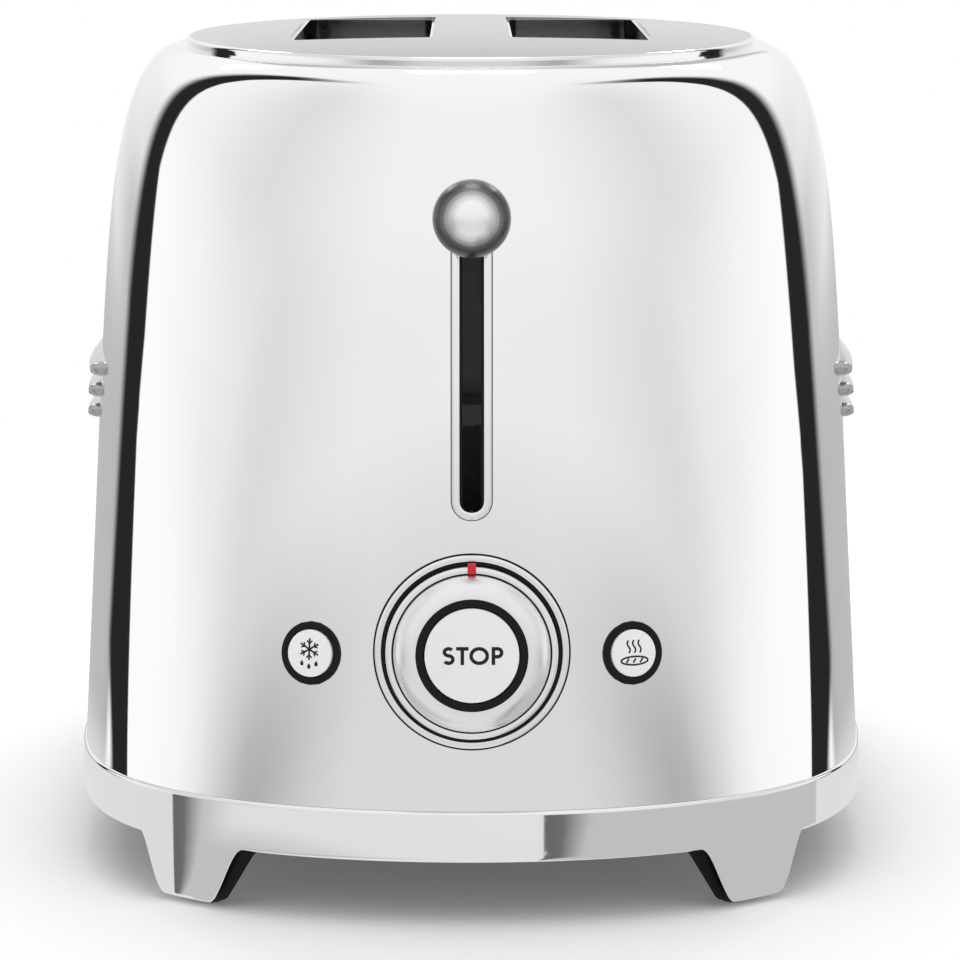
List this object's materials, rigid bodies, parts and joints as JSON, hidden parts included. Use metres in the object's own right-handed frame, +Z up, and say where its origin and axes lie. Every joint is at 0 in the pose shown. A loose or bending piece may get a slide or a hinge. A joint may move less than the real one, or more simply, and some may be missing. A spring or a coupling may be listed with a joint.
{
  "type": "toaster",
  "caption": "Countertop bread toaster with rounded mirror-steel body, domed slotted top plate, ball-tipped side lever, browning knob with centre button, and drawn feet.",
  "frame": {"origin": "bottom centre of the whole object's box, on the surface the feet stand on", "axes": "+Z up, -Y out of the control end with the lever, +X to the right as seen from the control end"},
  "size_m": [0.1944, 0.329, 0.1985],
  "materials": {
    "mirror_steel": "mirror-polished pressed stainless steel",
    "polished_steel": "polished stainless plate and trim",
    "black_plastic": "moulded black plastic",
    "rubber": "moulded rubber",
    "white_plastic": "glossy moulded light plastic",
    "red_plastic": "glossy moulded red plastic",
    "galvanised_steel": "galvanised sheet and zinc-plated rod",
    "mica": "pressed mica sheet",
    "resistance_ribbon": "rolled resistance ribbon",
    "rack_wire": "bright drawn steel wire",
    "copper_coil": "enamelled copper winding",
    "circuit_board": "solder-masked laminate"
  },
  "bodies": {
    "body": {"base_skirt": "polished_steel", "base_pan": "black_plastic", "foot_pads": "rubber", "base_screws": "galvanised_steel", "body_shell": "mirror_steel", "top_plate": "polished_steel", "slot_liner_left": "polished_steel", "slot_liner_right": "polished_steel", "side_trim_left": "polished_steel", "side_trim_right": "polished_steel", "lever_frame": "polished_steel", "lever_guard": "black_plastic", "front_bulkhead": "galvanised_steel", "rear_bulkhead": "galvanised_steel", "reflector_left": "galvanised_steel", "reflector_right": "galvanised_steel", "heater_board_left": "mica", "heater_board_center": "mica", "heater_board_right": "mica", "heater_ribbon_left": "resistance_ribbon", "heater_ribbon_center": "resistance_ribbon", "heater_ribbon_right": "resistance_ribbon", "guide_rods": "rack_wire", "magnet": "galvanised_steel", "magnet_coil": "copper_coil", "lift_spring": "rack_wire", "knob_bezel": "polished_steel", "knob_seat": "black_plastic", "potentiometer": "black_plastic", "stop_switch": "black_plastic", "control_board": "circuit_board", "board_components": "black_plastic", "defrost_collar": "black_plastic", "defrost_switch": "black_plastic", "reheat_collar": "black_plastic", "reheat_switch": "black_plastic", "cord_gland": "black_plastic", "terminal_block": "black_plastic", "mains_leads": "black_plastic"},
    "carriage": {"carriage": "galvanised_steel", "lifter_left": "rack_wire", "lifter_right": "rack_wire", "armature": "galvanised_steel", "lever_arm": "galvanised_steel", "lever_ball": "mirror_steel"},
    "knob": {"control_knob": "polished_steel", "knob_ring": "black_plastic", "knob_index": "red_plastic"},
    "stop_button": {"stop_button": "white_plastic"},
    "defrost_button": {"defrost_button": "white_plastic"},
    "reheat_button": {"reheat_button": "white_plastic"},
    "crumb_tray": {"crumb_tray": "galvanised_steel", "tray_panel": "black_plastic"},
    "rack_left_outer": {"rack_left_outer": "rack_wire"},
    "rack_left_inner": {"rack_left_inner": "rack_wire"},
    "rack_right_inner": {"rack_right_inner": "rack_wire"},
    "rack_right_outer": {"rack_right_outer": "rack_wire"}
  },
  "joints": [
    {"name": "lever_slide", "type": "slide", "parent": "body", "child": "carriage", "axis": [0, 0, -1], "range_m": [0, 0.064], "stiffness_N_per_m": 60, "springref_m": -0.09, "deforming": ["lift_spring"]},
    {"name": "knob_turn", "type": "hinge", "parent": "body", "child": "knob", "pos_m": [0, -0.14586, 0.0633], "axis": [0, -0.9965, 0.0834], "range_deg": [-135, 135]},
    {"name": "stop_press", "type": "slide", "parent": "body", "child": "stop_button", "axis": [0, 0.9965, -0.0834], "range_m": [0, 0.0015], "stiffness_N_per_m": 900, "springref_m": -0.001},
    {"name": "defrost_press", "type": "slide", "parent": "body", "child": "defrost_button", "axis": [0.3516, 0.9299, -0.1077], "range_m": [0, 0.0012], "stiffness_N_per_m": 900, "springref_m": -0.001},
    {"name": "reheat_press", "type": "slide", "parent": "body", "child": "reheat_button", "axis": [-0.3516, 0.9299, -0.1077], "range_m": [0, 0.0012], "stiffness_N_per_m": 900, "springref_m": -0.001},
    {"name": "tray_slide", "type": "slide", "parent": "body", "child": "crumb_tray", "axis": [0, 1, 0], "range_m": [0, 0.18]},
    {"name": "rack_left_outer_lean", "type": "hinge", "parent": "body", "child": "rack_left_outer", "pos_m": [-0.044, 0.0055, 0.04], "axis": [0, 1, 0], "range_deg": [0, 4.5]},
    {"name": "rack_left_inner_lean", "type": "hinge", "parent": "body", "child": "rack_left_inner", "pos_m": [-0.01, 0.0055, 0.04], "axis": [0, -1, 0], "range_deg": [0, 4.5]},
    {"name": "rack_right_inner_lean", "type": "hinge", "parent": "body", "child": "rack_right_inner", "pos_m": [0.01, 0.0055, 0.04], "axis": [0, 1, 0], "range_deg": [0, 4.5]},
    {"name": "rack_right_outer_lean", "type": "hinge", "parent": "body", "child": "rack_right_outer", "pos_m": [0.044, 0.0055, 0.04], "axis": [0, -1, 0], "range_deg": [0, 4.5]}
  ],
  "couplings": [
    {"joint": "rack_left_outer_lean", "follows": "lever_slide", "rad_per_m": 1.1999},
    {"joint": "rack_left_inner_lean", "follows": "lever_slide", "rad_per_m": 1.1999},
    {"joint": "rack_right_inner_lean", "follows": "lever_slide", "rad_per_m": 1.1999},
    {"joint": "rack_right_outer_lean", "follows": "lever_slide", "rad_per_m": 1.1999}
  ]
}
